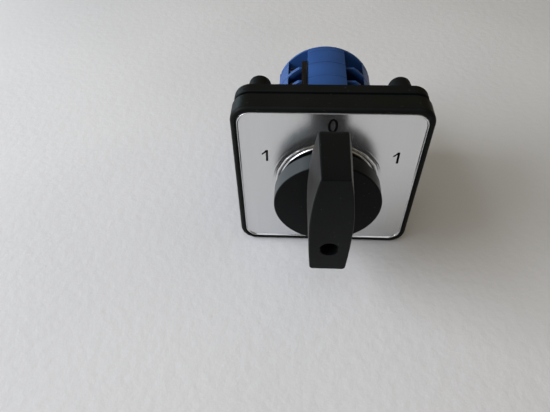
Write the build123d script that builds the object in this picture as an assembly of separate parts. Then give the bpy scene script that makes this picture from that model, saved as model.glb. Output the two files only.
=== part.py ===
from build123d import *
import math
import os

# Rotary cam switch for a front panel, with three positions and three contact stages.
# Millimetres. X is to the user's right, Z is up, and Y runs from the user into the panel.
# The origin is on the switch's axis, in the plane where its seal meets the panel.

# Square front: frame, legend plate and seal
plate_size = 64.0
plate_corner = 6.0
plate_round = 1.4
label_margin = 2.0
label_corner = 4.5
label_thickness = 0.8
label_clearance = 0.1
label_hole_radius = 15.7
label_edge_radius = 0.6
label_bead_radius = 17.5
label_bead_height = 0.25
lip_proud = 0.6
lip_bevel = 0.4
side_depth = 6.7
groove_width = 2.2
groove_depth = 1.3
floor_thickness = 2.0
side_wall = 2.4
inside_corner = 3.0
rib_thickness = 1.2
rib_bite = 0.5
ring_wall = 1.6
ring_height = 4.0
platform_height = 0.7
seal_thickness = 3.7
seal_inset = 0.35
seal_round = 0.5
seal_body_gap = 0.65
frame_bore_gap = 1.5

# Panel screws: four on a square, through the frame and the seal's sleeves
screw_inset = 8.0
panel_screw_hole = 2.1
panel_screw_head = 4.1
panel_screw_head_depth = 3.0
boss_radius = 5.4
sleeve_length = 11.4
sleeve_base_radius = 4.8
sleeve_tip_radius = 3.8
sleeve_round = 0.7

# Knob
disc_radius = 18.1
disc_front = 11.0
disc_thickness = 6.4
disc_round = 0.5
neck_radius = 14.9
neck_gap = 0.4
neck_bore = 12.8
hub_radius = 6.6
core_depth = 7.0
lever_front = 29.3
lever_underside = 9.9
lever_draft = 1.6
lever_tip = 30.3
lever_tip_half = 4.0
lever_tip_corner = 0.4
lever_upper_half = 5.8
lever_upper = 20.3
lever_wide_half = 6.58
lever_wide = 9.9
lever_middle_half = 6.4
lever_end_half = 5.75
lever_end = 10.7
lever_corner = 1.2
lever_edge = 0.5
well_radius = 3.05
well_depth = 15.9
knob_screw_radius = 1.6
knob_screw_head = 2.8
knob_screw_head_height = 2.4
knob_screw_length = 9.0
thread_spare = 1.0

# Shaft and the pieces on it
shaft_side = 7.0
shaft_setback = 0.2
shaft_fit = 0.05
journal_radius = 5.0
rear_journal_radius = 3.0
rear_journal_length = 1.9
rear_journal_spare = 0.2
rear_boss_wall = 1.5
bearing_fit = 0.05
clip_thickness = 0.6
clip_radius = 6.4
clip_groove = 0.5
clip_opening = 8.0
hub_gap = 0.1
lever_plate = 4.0
stop_hub_radius = 6.5
stop_hub_room = 0.9
stop_arm_room = 0.6
stop_arm_wall = 1.2
stop_arm_angle = 13.0
stop_play = 1.5
star_radius = 8.6
star_thickness = 6.0
star_gap = 1.0
star_hub_radius = 5.6
notch_radius = 2.2
notch_centre = 9.5
notch_count = 6
travel_angle = 60.0

# Detent springs
nose_radius = 1.75
nose_angle = 60.0
nose_gap = 0.1
leaf_thickness = 0.5
leaf_inset = 7.3
leaf_half = 9.2
leaf_width = 5.0

# Round body: stop housing, detent housing, three stages and the rear cover
body_radius = 19.7
body_flat_inset = 1.1
body_fit = 0.15
wall = 2.5
stop_depth = 11.3
stop_front_wall = 2.0
detent_depth = 14.0
web = 1.2
stage_count = 3
stage_pitch = 9.1
last_stage_depth = 8.7
cover_depth = 2.8
cover_rim = 1.2
seam = 0.3
detent_side_room = 0.6
detent_end_room = 1.3
detent_room_corner = 1.5
band_half = 7.3
window_side = 14.9
window_floor = 9.2
web_height = 16.5
chamber_half = 8.0
cam_room = 9.6
web_hole = 6.0
rear_dish_inset = 9.2
rear_dish_depth = 0.8
grip_places = (2.7, 7.3)
grip_width = 1.2
grip_depth = 0.6

# Tie bolts and frame screws
bolt_inset = 5.5
bolt_radius = 1.5
bolt_clearance = 0.1
bolt_head_radius = 2.8
bolt_head_height = 1.6
bolt_head_sink = 0.2
bolt_end_gap = 0.3
nut_across = 5.5
nut_height = 2.4
frame_screw_offset = 12.8
frame_screw_radius = 1.5
frame_screw_head = 2.5
frame_screw_length = 8.0

# Contacts
cam_radius = 7.2
cam_travel = 1.2
cam_thickness = 4.4
cam_hub_radius = 5.4
cam_points = 12
cam_gap = 0.15
stage_centre = 4.3
plunger_half_depth = 2.9
plunger_half_width = 2.1
plunger_nose = 1.5
pip_radius = 1.3
pip_height = 0.3
pip_offset = 5.4
contact_residual = 0.05
strip_thickness = 0.8
strip_inner = 8.4
strip_half = 2.0
strip_end = 4.0
pad_reach = 14.5
pad_half = 2.9
bridge_half_length = 6.6
bridge_fit = 0.05
shoulder = 1.0
tail_radius = 1.3
tail_length = 1.3
spring_radius = 1.75
spring_wire = 0.4
spring_turns = 4
spring_steps = 10
spring_end_gap = 0.1
guide_thickness = 1.0
guide_height = 0.9
guide_gap = 0.15
guide_lead = 1.0
guide_setback = 0.5
slot_gap = 0.1

# Terminals
terminal_offset = 12.1
terminal_screw_radius = 1.4
terminal_shank = 2.7
terminal_head_radius = 2.1
terminal_head_height = 1.8
head_round = 0.35
drive_width = 0.7
drive_depth = 0.9
clamp_side = 4.4
clamp_thickness = 0.8
linked_stages = (0, 2)
link_thickness = 0.7
link_width = 2.15
link_side_gap = 0.15
link_bar_height = 17.4
link_bar_thickness = 1.2
link_fork_reach = 14.2

# Sizes that follow from the ones above
label_size = plate_size - 2 * label_margin
screw_spacing = plate_size - 2 * screw_inset
inner_radius = body_radius - wall
body_half_width = body_radius - body_flat_inset
bolt_offset = body_radius - bolt_inset
rear_dish_radius = body_radius - rear_dish_inset
stop_arm_radius = bolt_offset - bolt_radius - bolt_clearance - stop_arm_wall - stop_arm_room
leaf_reach = body_radius - leaf_inset
contact_gap = cam_travel + contact_residual
bridge_inner = strip_inner + strip_thickness + 2 * pip_height + contact_gap
bridge_outer = bridge_inner + strip_thickness
pad_top = window_floor + strip_thickness

# Depths along Y
seal_front = -seal_thickness
groove_front = seal_front - groove_width
label_face = groove_front - side_depth
frame_front = label_face - lip_proud
recess_floor = label_face + label_thickness
floor_back = recess_floor + floor_thickness
platform_front = recess_floor - platform_height
disc_face = label_face - disc_front
disc_back = disc_face + disc_thickness
lever_face = label_face - lever_front
neck_back = platform_front - neck_gap
well_floor = lever_face + well_depth
shaft_end = disc_face + shaft_setback
stop_front = floor_back
stop_back = stop_front + stop_depth
stop_wall_back = stop_front + stop_front_wall
detent_back = stop_back + detent_depth
stage_fronts = [detent_back + n * stage_pitch for n in range(stage_count)]
cover_front = stage_fronts[-1] + last_stage_depth
cover_back = cover_front + cover_depth
bolt_seat = cover_back - bolt_head_height - bolt_head_sink
clip_front = stop_wall_back + bearing_fit
clip_back = clip_front + clip_thickness
stop_lever_front = clip_back + 3 * bearing_fit
stop_lever_back = stop_lever_front + lever_plate
star_front = stop_back + star_gap
star_back = star_front + star_thickness


def view(depth):
    """The plane at this depth as the user sees it, x to the right and y up."""
    return Plane(origin=(0, depth, 0), x_dir=(1, 0, 0), z_dir=(0, -1, 0))


def slab(shape, front, back):
    """A flat shape drawn as the user sees it, filled from front to back."""
    return extrude(view(back) * shape, amount=back - front)


def disc(radius, front, back, x=0.0, z=0.0):
    """A round bar or hole along Y."""
    return slab(Pos(x, z) * Circle(radius), front, back)


def block(x, y, z):
    """A box between two values on each axis."""
    size = (x[1] - x[0], y[1] - y[0], z[1] - z[0])
    centre = (sum(x) / 2, sum(y) / 2, sum(z) / 2)
    return Pos(*centre) * Box(*size)


def upright_hole(radius, x, depth, z):
    """A round hole along Z between two heights."""
    return Pos(x, depth, sum(z) / 2) * Cylinder(radius, z[1] - z[0])


def rim_edges(part, depth):
    """Edges of a part that lie in one plane across the axis."""
    return part.edges().filter_by_position(Axis.Y, depth - 0.001, depth + 0.001)


def long_edges(part, depth, length):
    """Edges in one plane across the axis that are at least this long."""
    return [edge for edge in rim_edges(part, depth) if edge.length > length]


def screw_places():
    """The four panel screws' centres."""
    half = screw_spacing / 2
    return [(x, z) for x in (-half, half) for z in (-half, half)]


def square_hole(front, back):
    """The square way through a piece that sits on the shaft."""
    side = shaft_side + 2 * shaft_fit
    return slab(Rectangle(side, side), front, back)


def front_frame():
    """Square moulding with a raised lip, screw bosses, ribs and a ring that centres the body."""
    outline = RectangleRounded(plate_size, plate_size, plate_corner)
    step = plate_size - 2 * groove_depth
    frame = slab(outline, frame_front, groove_front)
    frame = fillet(rim_edges(frame, frame_front), plate_round)
    frame += slab(RectangleRounded(step, step, plate_corner - groove_depth), groove_front, seal_front)
    inside = plate_size - 2 * (side_wall + groove_depth)
    frame -= slab(RectangleRounded(inside, inside, inside_corner), floor_back, seal_front)
    recess = label_size + 2 * label_clearance
    recess_shape = RectangleRounded(recess, recess, label_corner + label_clearance)
    frame -= slab(recess_shape, frame_front, recess_floor)
    frame = chamfer(long_edges(frame, frame_front, 1.0), lip_bevel)
    frame += disc(label_hole_radius - label_clearance, platform_front, recess_floor)
    ring_inner = body_radius + body_fit
    ring_shape = Circle(ring_inner + ring_wall) - Circle(ring_inner)
    frame += slab(ring_shape, floor_back, floor_back + ring_height)
    for angle in range(0, 360, 90):
        reach = (ring_inner + ring_wall / 2, inside / 2 + rib_bite)
        rib = block(reach, (floor_back, floor_back + ring_height), (-rib_thickness / 2, rib_thickness / 2))
        frame += Rot(0, angle, 0) * rib
    for x, z in screw_places():
        frame += disc(boss_radius, floor_back, seal_front, x, z)
        frame -= disc(panel_screw_hole, recess_floor, seal_front, x, z)
        frame -= disc(panel_screw_head, recess_floor, recess_floor + panel_screw_head_depth, x, z)
    frame -= disc(journal_radius + frame_bore_gap, platform_front, floor_back)
    for x in (-frame_screw_offset, frame_screw_offset):
        frame -= disc(frame_screw_radius + bolt_clearance, platform_front, floor_back, x)
        sink = frame_screw_head - frame_screw_radius
        cone = Cone(frame_screw_head + bolt_clearance, frame_screw_radius + bolt_clearance, sink)
        frame -= Pos(x, platform_front + sink / 2, 0) * Rot(-90, 0, 0) * cone
    return frame


def legend_plate():
    """Metal plate with rounded corners; its round hole has a turned-up edge and a fine bead round that."""
    shape = RectangleRounded(label_size, label_size, label_corner) - Circle(label_hole_radius)
    plate = slab(shape, label_face, recess_floor)
    edge = Torus(label_hole_radius + label_edge_radius, label_edge_radius)
    bead = Torus(label_bead_radius, label_bead_height)
    plate += Pos(0, label_face, 0) * Rot(90, 0, 0) * (edge + bead)
    return plate - disc(label_hole_radius, label_face - 2 * label_edge_radius, recess_floor)


def panel_seal():
    """Rubber pad between the frame and the panel, with a conical sleeve for each panel screw."""
    side = plate_size - 2 * seal_inset
    pad = slab(RectangleRounded(side, side, plate_corner - seal_inset), seal_front, 0)
    pad = fillet(rim_edges(pad, seal_front), seal_round)
    pad -= disc(body_radius + seal_body_gap, seal_front, 0)
    cone = Cone(sleeve_base_radius, sleeve_tip_radius, sleeve_length)
    cone = fillet(cone.edges().sort_by(Axis.Z)[-1:], sleeve_round)
    for x, z in screw_places():
        pad += Pos(x, sleeve_length / 2, z) * Rot(-90, 0, 0) * cone
        pad -= disc(panel_screw_hole, seal_front, sleeve_length, x, z)
    return pad


def lever_outline():
    """The lever's front face: widest above the axis, narrower at both ends, with arcs for sides."""
    tip = (lever_tip_half, lever_tip)
    wide = (lever_wide_half, lever_wide)
    end = (lever_end_half, -lever_end)
    side = ThreePointArc(tip, (lever_upper_half, lever_upper), wide)
    side += ThreePointArc(wide, (lever_middle_half, 0), end)
    other = mirror(side, Plane.YZ)
    ends = Line(tip, (-tip[0], tip[1])) + Line(end, (-end[0], end[1]))
    outline = make_face(side + other + ends)
    outline = fillet(outline.vertices().sort_by(Axis.Y)[:2], lever_corner)
    return fillet(outline.vertices().sort_by(Axis.Y)[-2:], lever_tip_corner)


def knob():
    """One moulding: a disc with a tapered lever, a hub on the shaft and a screw well from the front."""
    body = disc(disc_radius, disc_face, disc_back)
    body = fillet(rim_edges(body, disc_face), disc_round)
    lever_back = label_face - lever_underside
    lever = extrude(view(lever_face) * lever_outline(), amount=-(lever_back - lever_face), taper=-lever_draft)
    lever = fillet(rim_edges(lever, lever_face), lever_edge)
    body += lever
    body += disc(neck_radius, disc_back, neck_back)
    core_front = neck_back - core_depth
    body -= slab(Circle(neck_bore) - Circle(hub_radius), core_front, neck_back)
    body -= disc(well_radius, lever_face, well_floor)
    body -= square_hole(shaft_end - shaft_fit, neck_back)
    body -= disc(knob_screw_radius + bolt_clearance, well_floor, shaft_end)
    return body


def slotted_head(radius, height):
    """A pan head on the XY plane with a straight driver slot across its top."""
    head = Pos(0, 0, height / 2) * Cylinder(radius, height)
    head = fillet(head.edges().sort_by(Axis.Z)[-1:], head_round * height)
    slot = Pos(0, 0, height - drive_depth / 2) * Box(3 * radius, drive_width, drive_depth)
    return head - slot


def screw(head_radius, head_height, shank_radius, length):
    """A pan-head screw along Z with its seat on the XY plane and its head upwards."""
    shank = Pos(0, 0, -length / 2) * Cylinder(shank_radius, length)
    return slotted_head(head_radius, head_height) + shank


def facing_user(shape, x, depth, z):
    """Turn a shape that stands along Z so that its top faces the user."""
    return Pos(x, depth, z) * Rot(90, 0, 0) * shape


def facing_back(shape, x, depth, z):
    """Turn a shape that stands along Z so that its top faces away from the user."""
    return Pos(x, depth, z) * Rot(-90, 0, 0) * shape


def knob_screw():
    """Holds the knob on the shaft's threaded end."""
    shape = screw(knob_screw_head, knob_screw_head_height, knob_screw_radius, knob_screw_length)
    return facing_user(shape, 0, well_floor, 0)


def shaft():
    """Square bar with a round journal in the stop housing and a thinner one in the rear cover."""
    square_end = cover_front - bearing_fit
    bar = slab(Rectangle(shaft_side, shaft_side), shaft_end, square_end)
    bar += disc(journal_radius, platform_front, clip_back + bearing_fit)
    bar += disc(rear_journal_radius, square_end, cover_front + rear_journal_length)
    bar -= slab(Circle(clip_radius) - Circle(journal_radius - clip_groove), clip_front, clip_back)
    thread_end = well_floor + knob_screw_length + thread_spare
    bar -= disc(knob_screw_radius + bolt_clearance, shaft_end, thread_end)
    return bar


def shaft_clip():
    """Spring clip in the shaft's groove, open at the bottom, that keeps the shaft in its bearing."""
    shape = Circle(clip_radius) - Circle(journal_radius - clip_groove)
    shape -= Pos(0, -clip_radius) * Rectangle(clip_opening, clip_radius)
    return slab(shape, clip_front, clip_back)


def sector(radius, half_angle):
    """A slice of a disc about the upward direction."""
    left = math.radians(90 + half_angle)
    right = math.radians(90 - half_angle)
    a = (radius * math.cos(right), radius * math.sin(right))
    b = (radius * math.cos(left), radius * math.sin(left))
    return make_face(Line((0, 0), a) + ThreePointArc(a, (0, radius), b) + Line(b, (0, 0)))


def stop_lever():
    """Steel arm on the shaft that meets the housing just past each outer position."""
    shape = Circle(stop_hub_radius) + sector(stop_arm_radius, stop_arm_angle)
    return slab(shape, stop_lever_front, stop_lever_back) - square_hole(stop_lever_front, stop_lever_back)


def star_wheel():
    """Wheel with a notch every 60 degrees, and a hub that spaces it from the stop lever."""
    shape = Circle(star_radius)
    for angle in range(0, 360, 360 // notch_count):
        shape -= Rot(0, 0, angle) * Pos(notch_centre, 0) * Circle(notch_radius)
    wheel = slab(shape, star_front, star_back)
    wheel += disc(star_hub_radius, stop_lever_back, detent_back - hub_gap)
    return wheel - square_hole(stop_lever_back, detent_back)


def detent_springs():
    """Two bowed leaves whose noses lie in the star wheel's notches, one on each side."""
    centre = notch_centre + nose_gap
    lift = nose_radius * math.sin(math.radians(nose_angle))
    near = centre - nose_radius * math.cos(math.radians(nose_angle))
    tip = centre - nose_radius
    path = Line((leaf_reach, leaf_half), (near, lift))
    path += ThreePointArc((near, lift), (tip, 0), (near, -lift))
    path += Line((near, -lift), (leaf_reach, -leaf_half))
    leaf = trace(path, leaf_thickness)
    middle = (star_front + star_back) / 2
    right = slab(leaf, middle - leaf_width / 2, middle + leaf_width / 2)
    return [right, mirror(right, Plane.YZ)]


def round_body(front, back):
    """A length of the round body, which has a narrow flat on its left and right."""
    return slab(Circle(body_radius) & Rectangle(2 * body_half_width, 2 * body_radius), front, back)


def bolt_ways(front, back):
    """The two holes that the tie bolts pass through."""
    ways = disc(bolt_radius + bolt_clearance, front, back, 0, bolt_offset)
    return ways + disc(bolt_radius + bolt_clearance, front, back, 0, -bolt_offset)


def stop_housing():
    """Front module of the body: bearing for the shaft and a fan-shaped room for the stop lever."""
    body = round_body(stop_front, stop_back)
    body = chamfer(rim_edges(body, stop_back), seam)
    swing = travel_angle + stop_arm_angle + stop_play
    room = Circle(stop_hub_radius + stop_hub_room) + sector(stop_arm_radius + stop_arm_room, swing)
    body -= slab(room, stop_wall_back, stop_back)
    body -= disc(journal_radius + bearing_fit, stop_front, stop_wall_back)
    body -= bolt_ways(stop_front, stop_back)
    for z in (-bolt_offset, bolt_offset):
        pocket = RegularPolygon(nut_across / 2 + bolt_clearance, 6, major_radius=False)
        body -= slab(Pos(0, z) * pocket, stop_front, stop_front + nut_height)
    thread_end = platform_front + frame_screw_length + thread_spare
    for x in (-frame_screw_offset, frame_screw_offset):
        body -= disc(frame_screw_radius + bolt_clearance, stop_front, thread_end, x)
    return body


def detent_housing():
    """Second module of the body: a room for the star wheel and its springs, closed behind by a web."""
    body = round_body(stop_back, detent_back)
    body = chamfer(rim_edges(body, stop_back) + rim_edges(body, detent_back), seam)
    room_width = 2 * (leaf_reach + detent_side_room)
    room_height = 2 * (leaf_half + detent_end_room)
    room = RectangleRounded(room_width, room_height, detent_room_corner)
    body -= slab(room, stop_back, detent_back - web)
    body -= disc(web_hole, detent_back - web, detent_back)
    return body - bolt_ways(stop_back, detent_back)


def window_shape(low):
    """Four windows, one in each corner, open to the outside from this height."""
    shape = Sketch()
    for x in (-1, 1):
        for z in (-1, 1):
            width = window_side - band_half
            centre = (x * (band_half + width / 2), z * (low + body_radius / 2))
            shape += Pos(*centre) * Rectangle(width, body_radius)
    return shape


def stage_housing(number):
    """One contact stage: a web in front, a room for the cam and contacts, and four windows."""
    front = stage_fronts[number]
    last = number == stage_count - 1
    back = cover_front if last else front + stage_pitch
    inside = front + web
    body = round_body(front, back)
    body = chamfer(rim_edges(body, front) + rim_edges(body, back), seam)
    chamber = Circle(inner_radius) & Rectangle(2 * inner_radius, 2 * chamber_half)
    body -= slab(chamber + Circle(cam_room), inside, back)
    body -= slab(window_shape(window_floor), inside, back)
    body -= slab(window_shape(web_height), front, inside)
    body -= disc(web_hole, front, inside)
    body -= bolt_ways(front, back)
    centre = front + stage_centre
    for x in (-1, 1):
        for z in (-1, 1):
            guide_x = sorted((x * (bridge_inner - guide_lead), x * (inner_radius - guide_setback)))
            guide_low = plunger_half_width + guide_gap
            guide_z = sorted((z * guide_low, z * (guide_low + guide_thickness)))
            body += block(guide_x, (inside, inside + guide_height), guide_z)
            slot_x = sorted((x * (strip_inner - slot_gap), x * (strip_inner + strip_thickness + slot_gap)))
            slot_z = sorted((z * (chamber_half - slot_gap), z * (window_floor + slot_gap)))
            body -= block(slot_x, (centre - strip_half - slot_gap, back), slot_z)
            hole_z = sorted((z * chamber_half, z * window_floor))
            body -= upright_hole(terminal_screw_radius + bolt_clearance, x * terminal_offset, centre, hole_z)
    return body


def rear_cover():
    """End of the body, with the shaft's rear bearing, counterbores and the ends of the windows."""
    cover = round_body(cover_front, cover_back)
    cover = fillet(rim_edges(cover, cover_back), seam)
    cover = chamfer(rim_edges(cover, cover_front), seam)
    bore_end = cover_front + rear_journal_length + rear_journal_spare
    cover -= disc(rear_journal_radius + bearing_fit, cover_front, bore_end)
    dish = Circle(rear_dish_radius) - Circle(rear_journal_radius + rear_boss_wall)
    cover -= slab(dish, cover_back - rear_dish_depth, cover_back)
    cover -= slab(window_shape(window_floor), cover_front, cover_back - cover_rim)
    for x in (-body_half_width, body_half_width):
        for height in grip_places:
            grip = Rectangle(2 * grip_depth, grip_width)
            cover -= slab(Pos(x, height) * grip + Pos(x, -height) * grip, cover_front, cover_back)
    cover -= bolt_ways(cover_front, cover_back)
    for z in (-bolt_offset, bolt_offset):
        cover -= disc(bolt_head_radius + 2 * bolt_clearance, bolt_seat, cover_back, 0, z)
    return cover


def tie_bolts():
    """Two long screws from the rear cover to the nuts behind the frame."""
    length = bolt_seat - stop_front - bolt_end_gap
    shape = screw(bolt_head_radius, bolt_head_height, bolt_radius, length)
    return [facing_back(shape, 0, bolt_seat, z) for z in (-bolt_offset, bolt_offset)]


def tie_nuts():
    """Hexagon nuts in pockets in the stop housing's front."""
    shape = RegularPolygon(nut_across / 2, 6, major_radius=False) - Circle(bolt_radius + shaft_fit)
    return [slab(Pos(0, z) * shape, stop_front, stop_front + nut_height) for z in (-bolt_offset, bolt_offset)]


def frame_screws():
    """Two countersunk screws that hold the stop housing to the frame, under the knob."""
    screws = []
    sink = frame_screw_head - frame_screw_radius
    for x in (-frame_screw_offset, frame_screw_offset):
        shank = disc(frame_screw_radius, platform_front + sink, platform_front + frame_screw_length, x)
        cone = Cone(frame_screw_head, frame_screw_radius, sink)
        head = Pos(x, platform_front + sink / 2, 0) * Rot(-90, 0, 0) * cone
        slot = Pos(x, platform_front, 0) * Box(2 * frame_screw_head, drive_width, drive_width)
        screws.append(shank + head - slot)
    return screws


def cam_edge(angle):
    """Radius of the cam: it falls evenly from the bottom to the top, the same on both sides."""
    rise = cam_travel / math.radians(travel_angle)
    from_side = math.asin(max(-1.0, min(1.0, math.sin(angle))))
    return cam_radius - rise * from_side


def cam(number):
    """Heart-shaped cam, whose even fall moves both plungers in step with the knob."""
    front = stage_fronts[number]
    last = number == stage_count - 1
    hub_back = (cover_front if last else front + stage_pitch) - hub_gap
    middle = front + stage_centre
    angles = [math.radians(-90 + 180 * n / cam_points) for n in range(cam_points + 1)]
    points = [(cam_edge(a) * math.cos(a), cam_edge(a) * math.sin(a)) for a in angles]
    side = Spline(points)
    shape = make_face(side + mirror(side, Plane.YZ))
    body = slab(shape, middle - cam_thickness / 2, middle + cam_thickness / 2)
    body += disc(cam_hub_radius, front, hub_back)
    return body - square_hole(front, hub_back)


def sided(shape, side):
    """A right-hand piece as drawn, or its mirror image for the left."""
    return shape if side == "right" else mirror(shape, Plane.YZ)


def plunger(number, side):
    """Moulded slider: a rounded nose on the cam, a slot for the bridge and a tail inside the spring."""
    middle = stage_fronts[number] + stage_centre
    nose_x = cam_radius + cam_gap
    outer = bridge_outer + shoulder
    depth = (middle - plunger_half_depth, middle + plunger_half_depth)
    body = block((nose_x + plunger_nose, outer), depth, (-plunger_half_width, plunger_half_width))
    nose = Pos(nose_x + plunger_nose, 0) * Circle(plunger_nose)
    body += slab(nose, middle - cam_thickness / 2, middle + cam_thickness / 2)
    body += Pos(outer + tail_length / 2, middle, 0) * Rot(0, 90, 0) * Cylinder(tail_radius, tail_length)
    slot_x = (bridge_inner - bridge_fit, bridge_outer + bridge_fit)
    slot_y = (middle - strip_half - bridge_fit, middle + strip_half + bridge_fit)
    body -= block(slot_x, slot_y, (-plunger_half_width, plunger_half_width))
    return sided(body, side)


def pip(x, depth, z):
    """Round contact pip whose axis lies along X, from x outwards by its height."""
    return Pos(x + pip_height / 2, depth, z) * Rot(0, 90, 0) * Cylinder(pip_radius, pip_height)


def bridge(number, side):
    """Brass strip through the plunger, with a contact pip at both ends."""
    middle = stage_fronts[number] + stage_centre
    depth = (middle - strip_half, middle + strip_half)
    body = block((bridge_inner, bridge_outer), depth, (-bridge_half_length, bridge_half_length))
    for z in (-pip_offset, pip_offset):
        body += pip(bridge_inner - pip_height, middle, z)
    return sided(body, side)


def contact_spring(number, side):
    """Square-wire coil between the plunger's shoulder and the housing's wall."""
    middle = stage_fronts[number] + stage_centre
    start = bridge_outer + shoulder + spring_wire / 2 + spring_end_gap / 2
    end = inner_radius - spring_wire / 2 - 2 * spring_end_gap
    count = spring_turns * spring_steps
    sections = []
    for n in range(count + 1):
        angle = 2 * math.pi * n / spring_steps
        x = start + (end - start) * n / count
        out = (0, math.cos(angle), math.sin(angle))
        along = (0, -math.sin(angle), math.cos(angle))
        centre = (x, middle + spring_radius * out[1], spring_radius * out[2])
        sections.append(Plane(origin=centre, x_dir=out, z_dir=along) * Rectangle(spring_wire, spring_wire))
    return sided(loft(sections, ruled=True), side)


def corners(shape):
    """A top-right piece repeated in all four corners of a stage."""
    right = [shape, mirror(shape, Plane.XY)]
    return right + [mirror(piece, Plane.YZ) for piece in right]


def fixed_contact(middle):
    """Top-right strip: a leg with the contact pip, bent over the window's floor as the terminal pad."""
    depth = (middle - strip_half, middle + strip_half)
    strip = block((strip_inner, strip_inner + strip_thickness), depth, (strip_end, pad_top))
    pad = block((strip_inner, pad_reach), (middle - pad_half, middle + pad_half), (window_floor, pad_top))
    strip += pad
    strip += pip(strip_inner + strip_thickness, middle, pip_offset)
    hole_radius = terminal_screw_radius + shaft_fit
    return strip - upright_hole(hole_radius, terminal_offset, middle, (window_floor, pad_top))


def fixed_contacts(number):
    """Four strips in one stage."""
    return corners(fixed_contact(stage_fronts[number] + stage_centre))


def is_linked(number, piece):
    """Whether a terminal has the link strip under its clamp: upper left, in the linked stages."""
    centre = piece.bounding_box().center()
    return number in linked_stages and centre.X < 0 and centre.Z > 0


def lifted(number, pieces):
    """Raise the pieces of a linked terminal by the strip's thickness."""
    return [Pos(0, 0, link_thickness) * p if is_linked(number, p) else p for p in pieces]


def wire_clamps():
    """Square washers under the terminal screws."""
    clamps = []
    for number in range(stage_count):
        middle = stage_fronts[number] + stage_centre
        height = (pad_top, pad_top + clamp_thickness)
        across = (terminal_offset - clamp_side / 2, terminal_offset + clamp_side / 2)
        plate = block(across, (middle - clamp_side / 2, middle + clamp_side / 2), height)
        plate -= upright_hole(terminal_screw_radius + bolt_clearance, terminal_offset, middle, height)
        clamps += lifted(number, corners(plate))
    return clamps


def terminal_screws():
    """Pan-head screws, one over each wire clamp."""
    screws = []
    for number in range(stage_count):
        middle = stage_fronts[number] + stage_centre
        shape = screw(terminal_head_radius, terminal_head_height, terminal_screw_radius, terminal_shank)
        shape = Pos(terminal_offset, middle, pad_top + clamp_thickness) * shape
        screws += lifted(number, corners(shape))
    return screws


def link_strip():
    """Bent metal strip that joins two upper left terminals and passes over the webs between them."""
    side = -band_half - link_side_gap
    x = (side - link_width, side)
    top = link_bar_height + link_bar_thickness
    middles = [stage_fronts[number] + stage_centre for number in linked_stages]
    strip = block(x, (middles[0] - pad_half, middles[-1] - pad_half + link_thickness), (link_bar_height, top))
    for middle in middles:
        front = middle - pad_half
        strip += block(x, (front, front + link_thickness), (pad_top, top))
        height = (pad_top, pad_top + link_thickness)
        fork = block((-link_fork_reach, side), (front, middle + terminal_head_radius), height)
        strip += fork - upright_hole(terminal_screw_radius + bolt_clearance, -terminal_offset, middle, height)
    return strip


def save(name, solids):
    """Write one node as a STEP file."""
    shape = Compound(children=list(solids)) if isinstance(solids, list) else solids
    export_step(shape, f"parts/{name}.step")


os.makedirs("parts", exist_ok=True)
save("front_frame", front_frame())
save("legend_plate", legend_plate())
save("panel_seal", panel_seal())
save("knob", knob())
save("knob_screw", knob_screw())
save("shaft", shaft())
save("shaft_clip", shaft_clip())
save("stop_lever", stop_lever())
save("star_wheel", star_wheel())
save("detent_springs", detent_springs())
save("stop_housing", stop_housing())
save("detent_housing", detent_housing())
save("rear_cover", rear_cover())
save("tie_bolts", tie_bolts())
save("tie_nuts", tie_nuts())
save("frame_screws", frame_screws())
save("wire_clamps", wire_clamps())
save("terminal_screws", terminal_screws())
save("link_strip", link_strip())
for number in range(stage_count):
    stage = f"stage_{number + 1}"
    save(f"{stage}_housing", stage_housing(number))
    save(f"{stage}_cam", cam(number))
    save(f"{stage}_fixed_contacts", fixed_contacts(number))
    for side in ("left", "right"):
        save(f"{stage}_{side}_plunger", plunger(number, side))
        save(f"{stage}_{side}_bridge", bridge(number, side))
        save(f"{stage}_{side}_spring", contact_spring(number, side))
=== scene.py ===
import math

import bmesh
import bpy
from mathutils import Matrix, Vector


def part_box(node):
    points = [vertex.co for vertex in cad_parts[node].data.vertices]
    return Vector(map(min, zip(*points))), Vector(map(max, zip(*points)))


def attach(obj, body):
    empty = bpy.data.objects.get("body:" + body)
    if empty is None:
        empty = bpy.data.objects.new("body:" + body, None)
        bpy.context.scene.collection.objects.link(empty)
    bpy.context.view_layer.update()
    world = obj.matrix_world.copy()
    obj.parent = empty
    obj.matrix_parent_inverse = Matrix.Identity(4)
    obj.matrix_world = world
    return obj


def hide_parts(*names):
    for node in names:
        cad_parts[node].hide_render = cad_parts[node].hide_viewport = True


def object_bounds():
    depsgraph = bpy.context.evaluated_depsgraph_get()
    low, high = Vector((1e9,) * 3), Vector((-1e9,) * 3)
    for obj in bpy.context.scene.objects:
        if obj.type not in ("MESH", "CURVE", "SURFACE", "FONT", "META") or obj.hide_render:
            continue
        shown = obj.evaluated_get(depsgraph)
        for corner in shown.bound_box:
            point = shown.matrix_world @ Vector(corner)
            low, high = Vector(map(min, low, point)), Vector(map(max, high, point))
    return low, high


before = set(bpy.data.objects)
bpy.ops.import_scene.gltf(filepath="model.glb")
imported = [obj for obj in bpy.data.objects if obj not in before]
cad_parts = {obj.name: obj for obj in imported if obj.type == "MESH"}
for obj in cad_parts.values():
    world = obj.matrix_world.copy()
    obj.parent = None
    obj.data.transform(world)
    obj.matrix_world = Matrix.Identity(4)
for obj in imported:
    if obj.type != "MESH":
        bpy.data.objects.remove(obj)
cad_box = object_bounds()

# The view
# A camera held over the switch by hand, looking down on its front at about 48 degrees,
# with a wide lens. Its place was solved from the four corners of the square plate.
mm = 0.001
photo_width = 550
focal_length_px = 473.5
camera_place = (-10.3 * mm, -130.9 * mm, 118.4 * mm)
camera_turn = (math.radians(42.07), math.radians(1.10), math.radians(2.72))

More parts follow.
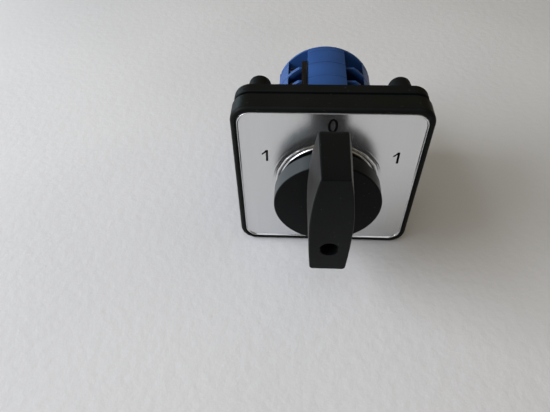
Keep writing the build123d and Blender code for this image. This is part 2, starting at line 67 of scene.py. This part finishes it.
bpy.ops.object.select_all(action="DESELECT")
bpy.ops.object.camera_add(location=camera_place, rotation=camera_turn)
camera = bpy.context.object
camera.name = "photo_camera"
camera.data.sensor_width = 36
camera.data.lens = camera.data.sensor_width * focal_length_px / photo_width
camera.data.clip_start = 5 * mm
bpy.context.scene.camera = camera
bpy.context.scene.view_settings.view_transform = "Standard"


# The light
# Cool daylight from a window on the left, a second one low and far behind it, and a weak
# lamp over the user's shoulder. The ceiling gives warm light back, and the floor hardly any.
floor_glow = (0.02, 0.02, 0.02)
ceiling_glow = (1.0, 0.80, 0.48)
glow_starts = -0.2
room_strength = 0.35


def soft_lamp(name, place, size, power, colour):
    """A large oblong lamp that points at the switch."""
    facing = (-Vector(place)).to_track_quat("-Z", "Y").to_euler()
    bpy.ops.object.light_add(type="AREA", location=place, rotation=facing)
    lamp = bpy.context.object
    lamp.name = name
    lamp.data.shape = "RECTANGLE"
    lamp.data.size, lamp.data.size_y = size
    lamp.data.energy = power
    lamp.data.color = colour


def node(tree, kind, **settings):
    """A new node with its plain settings; a key that names an input sets that input."""
    new = tree.nodes.new(kind)
    for key, value in settings.items():
        if key in new.inputs:
            new.inputs[key].default_value = value
        else:
            setattr(new, key, value)
    return new


def spread(tree, factor, low, high, start=0.3, end=0.7):
    """A number that follows a pattern between two values."""
    ramp = node(tree, "ShaderNodeMapRange")
    ramp.inputs["From Min"].default_value = start
    ramp.inputs["From Max"].default_value = end
    ramp.inputs["To Min"].default_value = low
    ramp.inputs["To Max"].default_value = high
    tree.links.new(factor, ramp.inputs["Value"])
    return ramp.outputs["Result"]


def tint(tree, factor, dark, light, start=0.3, end=0.7):
    """A colour that follows a pattern between two colours."""
    ramp = node(tree, "ShaderNodeValToRGB")
    ramp.color_ramp.elements[0].position = start
    ramp.color_ramp.elements[1].position = end
    ramp.color_ramp.elements[0].color = (*dark, 1)
    ramp.color_ramp.elements[1].color = (*light, 1)
    tree.links.new(factor, ramp.inputs["Fac"])
    return ramp.outputs["Color"]


soft_lamp("window_lamp", (-0.77, -0.18, 0.42), (0.75, 0.55), 10.7, (0.88, 0.91, 1.0))
soft_lamp("far_window_lamp", (-0.90, 0.80, 0.16), (0.8, 0.45), 3.2, (0.60, 0.85, 1.0))
soft_lamp("shoulder_lamp", (-0.15, -0.55, 1.10), (1.0, 1.0), 3.2, (0.72, 0.81, 1.0))

world = bpy.data.worlds.new("dim_room")
world.use_nodes = True
bpy.context.scene.world = world
room = world.node_tree
seen_from = node(room, "ShaderNodeTexCoord")
upwards = node(room, "ShaderNodeSeparateXYZ")
room.links.new(seen_from.outputs["Generated"], upwards.inputs["Vector"])
height = spread(room, upwards.outputs["Z"], 0, 1, glow_starts, 1)
glow = tint(room, height, floor_glow, ceiling_glow, 0, 1)
room.links.new(glow, room.nodes["Background"].inputs["Color"])
room.nodes["Background"].inputs["Strength"].default_value = room_strength


# The table
# A sheet of pale, slightly rough paper under the switch, level with the plate's lower edge.
# Its tone is a little cloudy, and its fibres show in the low light.
table_side = 6
table_level = cad_box[0][2]
fibre_depth = 0.6 * mm


def material(name):
    """A new material with its node tree, and the tree's main shader."""
    new = bpy.data.materials.new(name)
    new.use_nodes = True
    return new, new.node_tree, new.node_tree.nodes["Principled BSDF"]


def noise(tree, scale, detail=3.0, stretch=(1, 1, 1)):
    """A noise pattern on the piece's own coordinates, in metres, and its output."""
    place = node(tree, "ShaderNodeTexCoord")
    stretched = node(tree, "ShaderNodeMapping", Scale=stretch)
    pattern = node(tree, "ShaderNodeTexNoise", Scale=scale, Detail=detail)
    tree.links.new(place.outputs["Object"], stretched.inputs["Vector"])
    tree.links.new(stretched.outputs["Vector"], pattern.inputs["Vector"])
    return pattern.outputs["Fac"]


def bump(tree, height, strength, depth, below=None):
    """A bump normal from a height pattern, on top of another where one is given."""
    relief = node(tree, "ShaderNodeBump", Strength=strength, Distance=depth)
    tree.links.new(height, relief.inputs["Height"])
    if below:
        tree.links.new(below, relief.inputs["Normal"])
    return relief.outputs["Normal"]


def pale_paper():
    """Matte paper: a cloudy pale grey with a rough surface of fibres."""
    paper, tree, shader = material("pale_paper")
    cloudy = tint(tree, noise(tree, 7, 2), (0.60, 0.605, 0.605), (0.66, 0.665, 0.66))
    tree.links.new(cloudy, shader.inputs["Base Color"])
    fibres = bump(tree, noise(tree, 260, 4), 0.35, fibre_depth)
    tree.links.new(fibres, shader.inputs["Normal"])
    shader.inputs["Roughness"].default_value = 0.85
    shader.inputs["Specular IOR Level"].default_value = 0.2
    return paper


bpy.ops.mesh.primitive_plane_add(size=table_side, location=(0, 0, table_level))
table = bpy.context.object
table.name = "paper_table"
table.data.materials.append(pale_paper())


# Front frame
# A square moulding in satin black plastic, with a raised lip round the plate. Its faces
# carry the fine grain of a spark-eroded mould, and a few specks of dust.
dust_grey = (0.07, 0.07, 0.065)
dust_spacing = 430.0
dust_edge = (0.035, 0.075)
smoother, rougher = 0.05, 0.06
coarse_grain_share, coarse_depth, fine_depth = 0.35, 0.03 * mm, 0.02 * mm


def mixed(tree, factor, under, over):
    """Colour over colour by a pattern; either may be a plain colour or a node's output."""
    mix = node(tree, "ShaderNodeMix", data_type="RGBA")
    tree.links.new(factor, mix.inputs["Factor"])
    for socket, colour in ((mix.inputs[6], under), (mix.inputs[7], over)):
        if isinstance(colour, tuple):
            socket.default_value = (*colour, 1)
        else:
            tree.links.new(colour, socket)
    return mix.outputs[2]


def moulded(name, dark, light, roughness, grain_size=0.25, shine=0.5, dust=None, grain=0.22):
    """Moulded plastic: a fine even grain in mm, slow changes of tone, and a varying shine."""
    plastic, tree, shader = material(name)
    colour = tint(tree, noise(tree, 55, 4), dark, light)
    if dust:
        place = node(tree, "ShaderNodeTexCoord")
        specks = node(tree, "ShaderNodeTexVoronoi", Scale=dust_spacing)
        tree.links.new(place.outputs["Object"], specks.inputs["Vector"])
        dusty = spread(tree, specks.outputs["Distance"], 1, 0, *dust_edge)
        colour = mixed(tree, dusty, colour, dust)
    tree.links.new(colour, shader.inputs["Base Color"])
    handled = spread(tree, noise(tree, 120, 5), roughness - smoother, roughness + rougher)
    tree.links.new(handled, shader.inputs["Roughness"])
    fine_scale = 1 / (grain_size * mm)
    coarse_scale = coarse_grain_share / (grain_size * mm)
    relief = bump(tree, noise(tree, coarse_scale, 3), grain, coarse_depth)
    relief = bump(tree, noise(tree, fine_scale, 3), grain, fine_depth, relief)
    tree.links.new(relief, shader.inputs["Normal"])
    shader.inputs["Specular IOR Level"].default_value = shine
    return plastic


def dress(finish, *names):
    """Give CAD nodes their finish."""
    for name in names:
        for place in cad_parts[name].material_slots:
            place.material = finish


frame_black = moulded(
    "satin_black_frame", (0.0042, 0.0052, 0.0048), (0.0074, 0.0086, 0.0080),
    roughness=0.42, shine=0.07, dust=dust_grey,
)
dress(frame_black, "front_frame")


# Panel seal
# A soft black rubber pad behind the frame, moulded in one with four conical screw sleeves.
# Rubber takes a coarser, deeper grain than the plastic, and holds dust.
seal_black = moulded(
    "matte_black_rubber", (0.0026, 0.0034, 0.0036), (0.0056, 0.0064, 0.0064),
    roughness=0.55, grain_size=0.4, shine=0.10, dust=dust_grey, grain=0.4,
)
dress(seal_black, "panel_seal")


# Legend plate
# Aluminium sheet, brushed from top to bottom and pressed like a tray: a low rim runs round
# it, its round hole's edge is rolled up, and two beads were pressed round that. The beads
# came out a little uneven and catch the light.
plate_low, plate_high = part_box("legend_plate")
plate_face = -12.6 * mm
plate_thickness = 0.8 * mm
plate_side = plate_high[0] - plate_low[0]
plate_corner = 4.5 * mm
corner_steps = 14
edge_round = 0.25 * mm
close_by = 0.01 * mm

# The rim's profile: how far in from the edge, and how high over the face, both in mm.
# The last step lies flat, which keeps the rim's shading off the face.
rim = (
    (0, 0.20), (0.05, 0.33), (0.12, 0.42), (0.20, 0.45), (0.28, 0.43),
    (0.36, 0.35), (0.44, 0.22), (0.51, 0.09), (0.58, 0.015), (0.85, 0),
)

# The hole's rolled edge, the beads (radius, height, half their width) and how they waver
# (share, waves in a turn, start).
hole_radius = 15.7 * mm
roll_crest, roll_half_width, roll_height = 16.25 * mm, 0.36 * mm, 0.5 * mm
beads = ((17.5 * mm, 0.25 * mm, 0.45 * mm), (19.1 * mm, 0.02 * mm, 0.40 * mm))
wavers = ((0.06, 7, 1.1), (0.05, 19, 0), (0.04, 41, 2.0))
sideways_waver = 2.5
height_waver = 2
pressed_out_to = 19.7 * mm
hole_steps = 240
press_steps = 50


def brushed_silver():
    """Brushed aluminium: strokes that run up and down the plate, in three widths."""
    silver, tree, shader = material("brushed_silver")
    broad = noise(tree, 1, 3, (2600, 1, 25))
    strokes = noise(tree, 1, 3, (4200, 1, 260))
    hairlines = noise(tree, 1, 4, (20000, 1, 40))
    grey = tint(tree, broad, (0.70, 0.705, 0.71), (0.76, 0.765, 0.77))
    tree.links.new(grey, shader.inputs["Base Color"])
    tree.links.new(spread(tree, broad, 0.21, 0.27), shader.inputs["Roughness"])
    relief = bump(tree, broad, 0.12, 0.012 * mm)
    relief = bump(tree, strokes, 0.70, 0.014 * mm, relief)
    relief = bump(tree, hairlines, 0.40, 0.006 * mm, relief)
    tree.links.new(relief, shader.inputs["Normal"])
    shader.inputs["Metallic"].default_value = 0.94
    return silver


def pressed_height(radius, angle):
    """How far the plate stands up at a radius: the rolled edge and the wavering beads."""
    waver = sum(share * math.sin(waves * angle + start) for share, waves, start in wavers)
    height = 0.0
    from_crest = (radius - roll_crest) / roll_half_width
    if abs(from_crest) < 1:
        height = roll_height * math.sqrt(1 - from_crest ** 2)
    for bead_radius, bead_height, half_width in beads:
        across = (radius - bead_radius) / half_width - waver * sideways_waver
        if abs(across) < 1:
            crest = bead_height * (1 + height_waver * waver)
            height = max(height, crest * math.cos(across * math.pi / 2) ** 2)
    return height


def with_none_selected(piece):
    """The piece's mesh in edit mode, with nothing selected."""
    shape = bmesh.from_edit_mesh(piece.data)
    for part in (*shape.verts, *shape.edges, *shape.faces):
        part.select = False
    return shape


def select_edges(piece, wanted):
    """Select the edges whose two ends both pass a test of their place."""
    shape = with_none_selected(piece)
    for edge in shape.edges:
        if all(wanted(piece.matrix_world @ end.co) for end in edge.verts):
            edge.select_set(True)
    bmesh.update_edit_mesh(piece.data)


def extrude_scaled(factor, rise=0):
    """Extrude the selected edges, move them along y and scale them about the axis."""
    bpy.ops.mesh.extrude_region_move(TRANSFORM_OT_translate={"value": (0, rise, 0)})
    bpy.ops.transform.resize(value=(factor, 1, factor), center_override=(0, plate_face, 0))


def apply_place():
    """Bake the active piece's place, turn and scale into its mesh."""
    bpy.ops.object.transform_apply(location=True, rotation=True, scale=True)


def finish_piece(piece, body, finish):
    """Bake the piece's place, give it its finish and let it ride on its body."""
    bpy.ops.object.select_all(action="DESELECT")
    bpy.context.view_layer.objects.active = piece
    piece.select_set(True)
    apply_place()
    piece.data.materials.clear()
    piece.data.materials.append(finish)
    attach(piece, body)
    piece.select_set(False)


bpy.ops.object.select_all(action="DESELECT")
bpy.ops.mesh.primitive_plane_add(
    size=plate_side, location=(0, plate_face - rim[0][1] * mm, 0), rotation=(math.pi / 2, 0, 0)
)
plate = bpy.context.object
plate.name = "brushed_legend_plate"
bpy.ops.object.mode_set(mode="EDIT")
bpy.ops.mesh.select_all(action="SELECT")
bpy.ops.mesh.bevel(affect="VERTICES", offset=plate_corner, segments=corner_steps)
bpy.ops.mesh.delete(type="ONLY_FACE")
bpy.ops.mesh.select_all(action="SELECT")
for (inset_before, height_before), (inset, height) in zip(rim, rim[1:]):
    shrink = (plate_side / 2 - inset * mm) / (plate_side / 2 - inset_before * mm)
    extrude_scaled(shrink, (height_before - height) * mm)
bpy.ops.mesh.primitive_circle_add(
    vertices=hole_steps, radius=pressed_out_to,
    location=(0, plate_face, 0), rotation=(math.pi / 2, 0, 0),
)
bpy.ops.mesh.select_mode(type="EDGE")
select_edges(plate, lambda place: abs(place.y - plate_face) < close_by)
bpy.ops.mesh.bridge_edge_loops()
select_edges(plate, lambda place: math.hypot(place.x, place.z) < pressed_out_to + close_by)
for step in range(press_steps):
    before = pressed_out_to + (hole_radius - pressed_out_to) * step / press_steps
    after = pressed_out_to + (hole_radius - pressed_out_to) * (step + 1) / press_steps
    extrude_scaled(after / before)
bpy.ops.object.mode_set(mode="OBJECT")
apply_place()
for corner in plate.data.vertices:
    radius = math.hypot(corner.co.x, corner.co.z)
    if radius < pressed_out_to:
        angle = math.atan2(corner.co.x, corner.co.z)
        corner.co.y = plate_face - pressed_height(radius, angle)

bpy.ops.object.mode_set(mode="EDIT")
bpy.ops.mesh.select_all(action="SELECT")
bpy.ops.mesh.normals_make_consistent(inside=False)
bpy.ops.object.mode_set(mode="OBJECT")
facing_back = sum(face.normal.y * face.area for face in plate.data.polygons) > 0
if facing_back:
    bpy.ops.object.mode_set(mode="EDIT")
    bpy.ops.mesh.flip_normals()
    bpy.ops.object.mode_set(mode="OBJECT")
bpy.ops.object.modifier_add(type="SOLIDIFY")
plate.modifiers["Solidify"].thickness = plate_thickness
plate.modifiers["Solidify"].offset = -1
bpy.ops.object.modifier_apply(modifier="Solidify")
bpy.ops.object.modifier_add(type="BEVEL")
plate.modifiers["Bevel"].width = edge_round
plate.modifiers["Bevel"].segments = 2
plate.modifiers["Bevel"].angle_limit = math.radians(50)
bpy.ops.object.modifier_apply(modifier="Bevel")
bpy.ops.object.shade_smooth_by_angle(angle=math.radians(35))

plate_silver = brushed_silver()
finish_piece(plate, "housing", plate_silver)
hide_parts("legend_plate")
dress(plate_silver, "legend_plate")


# Dial numbers
# 1, 0 and 1 in thin black ink, screen-printed on the plate at the ends and the middle of
# the knob's travel. Each is a thin closed skin of ink.
ink_thickness = 0.03 * mm
ink_middle = plate_face - ink_thickness / 2
stroke = 0.78 * mm
ones = (("digit_left", -20.65 * mm, 0), ("digit_right", 22.75 * mm, -0.1 * mm))
one_foot = 9.8 * mm
one_height = 4.8 * mm
flag_reach = 1.3 * mm
flag_drop = 1.3 * mm
flag_root = 1.25 * stroke
flag_steps = ((0.62, 0.8), (0.38, 0.9))     # share of the drop, and how it thins
zero_centre = (0.45 * mm, 25.0 * mm)
zero_half = (1.18 * mm, 2.35 * mm)
zero_steps = 64
off_middle = 0.01 * stroke


def black_ink():
    """Dull printing ink, its tone and gloss a little uneven."""
    ink, tree, shader = material("black_ink")
    colour = tint(tree, noise(tree, 2500, 2), (0.002, 0.002, 0.002), (0.005, 0.005, 0.005))
    tree.links.new(colour, shader.inputs["Base Color"])
    tree.links.new(spread(tree, noise(tree, 900, 3), 0.40, 0.55), shader.inputs["Roughness"])
    shader.inputs["Specular IOR Level"].default_value = 0.04
    return ink


ink = black_ink()
for name, x, shift in ones:
    top = one_foot + shift + one_height
    root = top - flag_root
    bpy.ops.object.select_all(action="DESELECT")
    bpy.ops.mesh.primitive_cube_add(size=1, location=(x, ink_middle, top - one_height / 2))
    digit = bpy.context.object
    digit.name = name
    bpy.ops.object.mode_set(mode="EDIT")
    bpy.ops.transform.resize(value=(stroke, ink_thickness, one_height))
    bpy.ops.mesh.bisect(plane_co=(x, 0, root), plane_no=(0, 0, 1))
    shape = with_none_selected(digit)
    for face in shape.faces:
        middle = digit.matrix_world @ face.calc_center_median()
        if middle.x < x - 0.4 * stroke and middle.z > root:
            face.select_set(True)
    bmesh.update_edit_mesh(digit.data)
    for share, thinning in flag_steps:
        move = (-flag_reach / 2, 0, -flag_drop * share)
        bpy.ops.mesh.extrude_region_move(TRANSFORM_OT_translate={"value": move})
        bpy.ops.transform.resize(value=(1, 1, thinning))
    bpy.ops.object.mode_set(mode="OBJECT")
    finish_piece(digit, "housing", ink)

bpy.ops.object.select_all(action="DESELECT")
bpy.ops.mesh.primitive_torus_add(
    major_segments=zero_steps, minor_segments=4,
    major_radius=zero_half[0], minor_radius=stroke / 2 * math.sqrt(2),
    location=(zero_centre[0], ink_middle, zero_centre[1]), rotation=(math.pi / 2, 0, 0),
)
digit = bpy.context.object
digit.name = "digit_top"
bpy.ops.object.mode_set(mode="EDIT")
bpy.ops.mesh.select_all(action="SELECT")
shape = bmesh.from_edit_mesh(digit.data)
for corner in shape.verts:
    turned = math.atan2(corner.co.y, corner.co.x)
    out = math.hypot(corner.co.x, corner.co.y) - zero_half[0]
    side = math.copysign(stroke / 2, out) if abs(out) > off_middle else 0
    lift = math.copysign(ink_thickness / 2, corner.co.z) if abs(corner.co.z) > off_middle else 0
    corner.co.x = (zero_half[0] + side) * math.cos(turned)
    corner.co.y = (zero_half[1] + side) * math.sin(turned)
    corner.co.z = lift
bmesh.update_edit_mesh(digit.data)
bpy.ops.object.mode_set(mode="OBJECT")
finish_piece(digit, "housing", ink)


# Round body
# Two housings, three contact stages and a cover, each a moulding in satin blue plastic.
# Fine lines from the mould run round their outsides, the walls inside the windows are painted
# darker towards the axis as painted shade, and the stages meet in thin dark lines on the broad
# bands at the top and the bottom.
stages = (1, 2, 3)
cover_front = 42.3 * mm
# Painted shade inside the windows: its blue, and the radii over which it fades in.
inside_from, inside_to = 17.2 * mm, 19.5 * mm
painted_shade_blue = (0.0012, 0.006, 0.030)
seam_blue = (0.002, 0.008, 0.030)
seams = ((24.6 * mm, 0.45), (33.7 * mm, 0.8), (42.4 * mm, 0.4))     # place, darkness
seam_half_width = 0.22 * mm
band_half_width = 7.2 * mm


def maths(tree, operation, *values):
    """A number worked out from others, each a plain number or a node's output."""
    result = node(tree, "ShaderNodeMath", operation=operation)
    for socket, value in zip(result.inputs, values):
        if isinstance(value, (int, float)):
            socket.default_value = value
        else:
            tree.links.new(value, socket)
    return result.outputs[0]


def place_in_switch(tree):
    """A point's x and y, and its distance from the switch's axis."""
    place = node(tree, "ShaderNodeTexCoord")
    along = node(tree, "ShaderNodeSeparateXYZ")
    flat = node(tree, "ShaderNodeCombineXYZ")
    out = node(tree, "ShaderNodeVectorMath", operation="LENGTH")
    tree.links.new(place.outputs["Object"], along.inputs["Vector"])
    tree.links.new(along.outputs["X"], flat.inputs["X"])
    tree.links.new(along.outputs["Z"], flat.inputs["Z"])
    tree.links.new(flat.outputs["Vector"], out.inputs[0])
    return along.outputs["X"], along.outputs["Y"], out.outputs["Value"]


def taken_from(shader, name):
    """The output that feeds one of the shader's inputs so far."""
    return shader.inputs[name].links[0].from_socket


def blue_moulding():
    """Satin blue plastic with painted shade darkening it inside, and dark seams where the stages
    meet.
    """
    blue = moulded(
        "satin_blue", (0.019, 0.061, 0.195), (0.025, 0.080, 0.250),
        roughness=0.42, grain_size=0.3, shine=0.16, grain=0.2,
    )
    tree = blue.node_tree
    shader = tree.nodes["Principled BSDF"]
    x, y, radius = place_in_switch(tree)
    # Painted shade: the blue darkens towards the axis, in front of the cover.
    inside = maths(
        tree, "MULTIPLY",
        spread(tree, radius, 1, 0, inside_from, inside_to),
        maths(tree, "LESS_THAN", y, cover_front),
    )
    colour = mixed(tree, inside, taken_from(shader, "Base Color"), painted_shade_blue)
    on_band = maths(tree, "COMPARE", x, 0, band_half_width)
    for seam, darkness in seams:
        line = maths(tree, "MULTIPLY", maths(tree, "COMPARE", y, seam, seam_half_width), on_band)
        patchy = spread(tree, noise(tree, 420, 2), 0.4 * darkness, darkness)
        colour = mixed(tree, maths(tree, "MULTIPLY", line, patchy), colour, seam_blue)
    tree.links.new(colour, shader.inputs["Base Color"])
    mould_lines = noise(tree, 1, 2, (4, 2400, 4))
    relief = bump(tree, mould_lines, 0.5, 0.02 * mm, taken_from(shader, "Normal"))
    tree.links.new(relief, shader.inputs["Normal"])
    return blue


dress(blue_moulding(), "stop_housing", "detent_housing", "rear_cover",
      *(f"stage_{number}_housing" for number in stages))


# Contacts and terminals
# Brass strips with silver pips: one for each terminal, and a bridge on each plunger. The
# small screws and clamps that hold the wires are dull dark zinc.
sides = ("left", "right")


def metal(name, dark, light, roughness):
    """Metal as it comes from the tool: fine marks and a dull or bright shine."""
    finish = moulded(name, dark, light, roughness)
    finish.node_tree.nodes["Principled BSDF"].inputs["Metallic"].default_value = 1
    return finish


def on_both_sides(part):
    """The names of a piece that each stage has on its left and on its right."""
    return [f"stage_{number}_{side}_{part}" for number in stages for side in sides]


brass = metal("bright_brass", (0.40, 0.27, 0.10), (0.54, 0.37, 0.15), 0.42)
dull_zinc = metal("dull_zinc", (0.022, 0.022, 0.024), (0.045, 0.045, 0.046), 0.50)
dress(brass, *on_both_sides("bridge"))
dress(brass, *(f"stage_{number}_fixed_contacts" for number in stages))
dress(dull_zinc, "wire_clamps", "terminal_screws")


# Link strip
# A bent strip over the webs that joins the first and the last stage, blackened, with greyer
# streaks along it that are painted highlights, standing in for light caught along its edges.
link_dark = moulded(
    "blackened_link", (0.0022, 0.0024, 0.0027), (0.0070, 0.0064, 0.0062),
    roughness=0.45, shine=0.12,
)
tree = link_dark.node_tree
# Painted highlight: lighter streaks run along the strip.
lines_along = noise(tree, 1, 2, (2300, 90, 60))
painted_highlight = tint(tree, lines_along, (0.0020, 0.0020, 0.0023), (0.0290, 0.0270, 0.0265), 0.42, 0.72)
tree.links.new(painted_highlight, tree.nodes["Principled BSDF"].inputs["Base Color"])
dress(link_dark, "link_strip")


# Shaft, stop lever, fasteners and springs
# Zinc-plated steel: the square shaft with its stop lever, and the bolts, nuts and screws that
# hold the stack together. The clip, the detent leaves and the contact springs are hardened
# spring steel.
plated_steel = metal("zinc_plated_steel", (0.42, 0.42, 0.40), (0.58, 0.58, 0.56), 0.34)
spring_steel = metal("spring_steel", (0.26, 0.26, 0.27), (0.38, 0.38, 0.39), 0.30)
dress(plated_steel, "tie_bolts", "tie_nuts", "frame_screws", "knob_screw", "shaft", "stop_lever")
dress(spring_steel, "shaft_clip", "detent_springs", *on_both_sides("spring"))


# Cams and plungers
# Hard-wearing mouldings inside the stages: black cams and the star wheel on the shaft, and
# pale plungers that carry the contact bridges.
cam_black = moulded("cam_moulding", (0.015, 0.015, 0.016), (0.025, 0.025, 0.026), 0.40)
plunger_pale = moulded("natural_moulding", (0.52, 0.48, 0.38), (0.62, 0.58, 0.48), 0.45)
dress(cam_black, "star_wheel", *(f"stage_{number}_cam" for number in stages))
dress(plunger_pale, *on_both_sides("plunger"))


# Knob
# One satin black moulding, disc and lever together. The disc's wall is a little greyer, with a
# painted highlight on its upper left that stands in for the window's reflection, and there is a
# slight bloom where light rakes along the walls.
wall_from, wall_to = 17.85 * mm, 18.0 * mm
wall_front, wall_behind = -23.6 * mm, -23.2 * mm
wall_grey = (0.006, 0.007, 0.007)
# The painted highlight on the wall's upper left: its grey, its centre and how far it reaches.
painted_highlight_grey = (0.056, 0.065, 0.068)
highlight_centre = (-13.5 * mm, -20.5 * mm, 12.0 * mm)
highlight_reach = (6 * mm, 15 * mm)
bloom, bloom_roughness = 0.18, 0.35

knob_black = moulded(
    "satin_black_knob", (0.0016, 0.0021, 0.0023), (0.0034, 0.0041, 0.0043),
    roughness=0.36, shine=0.06, dust=dust_grey,
)
tree = knob_black.node_tree
shader = tree.nodes["Principled BSDF"]
x, y, radius = place_in_switch(tree)
on_wall = maths(
    tree, "MULTIPLY",
    spread(tree, radius, 0, 1, wall_from, wall_to),
    spread(tree, y, 0, 1, wall_front, wall_behind),
)
# Painted highlight: the wall is lighter round a point on its upper left.
place = node(tree, "ShaderNodeTexCoord")
distance_from_highlight = node(tree, "ShaderNodeVectorMath", operation="DISTANCE")
distance_from_highlight.inputs[1].default_value = highlight_centre
tree.links.new(place.outputs["Object"], distance_from_highlight.inputs[0])
painted_highlight = spread(tree, distance_from_highlight.outputs["Value"], 1, 0, *highlight_reach)
wall_colour = mixed(tree, painted_highlight, wall_grey, painted_highlight_grey)
colour = mixed(tree, on_wall, taken_from(shader, "Base Color"), wall_colour)
tree.links.new(colour, shader.inputs["Base Color"])
shader.inputs["Sheen Weight"].default_value = bloom
shader.inputs["Sheen Roughness"].default_value = bloom_roughness
dress(knob_black, "knob")
